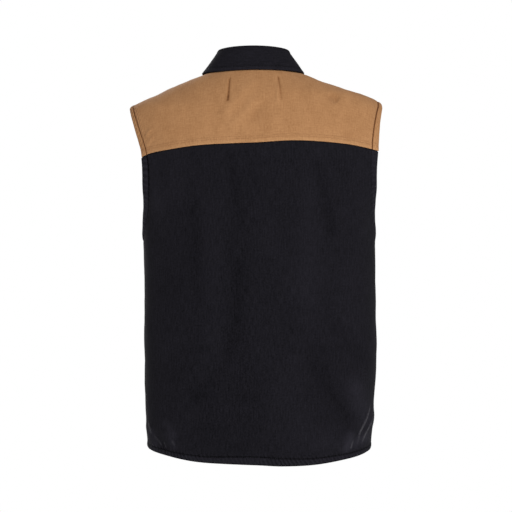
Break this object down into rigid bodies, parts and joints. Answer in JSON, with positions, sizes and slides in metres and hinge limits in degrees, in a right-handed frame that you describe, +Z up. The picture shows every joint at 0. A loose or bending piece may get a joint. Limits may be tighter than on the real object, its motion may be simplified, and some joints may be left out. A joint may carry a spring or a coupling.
{
  "type": "denim vest",
  "caption": "Sleeveless black denim vest in its worn shape, with a tan canvas back yoke, a fold-down collar, open neck, armholes and hem, and a closed front zip.",
  "frame": {"origin": "middle of the neck, level with where the collar meets the shoulders: the seat on the wearer's shoulders", "axes": "+Z up, -Y towards the wearer's front, +X towards the wearer's left"},
  "size_m": [0.4466, 0.2599, 0.7216],
  "materials": {
    "canvas": "matt tan duck canvas",
    "denim": "matt black twill denim",
    "zip_metal": "dark metal"
  },
  "bodies": {
    "root": {"back_yoke": "canvas", "back_panel": "denim", "collar": "denim", "front_left": "denim", "front_right": "denim", "front_zip": "zip_metal"}
  },
  "joints": []
}
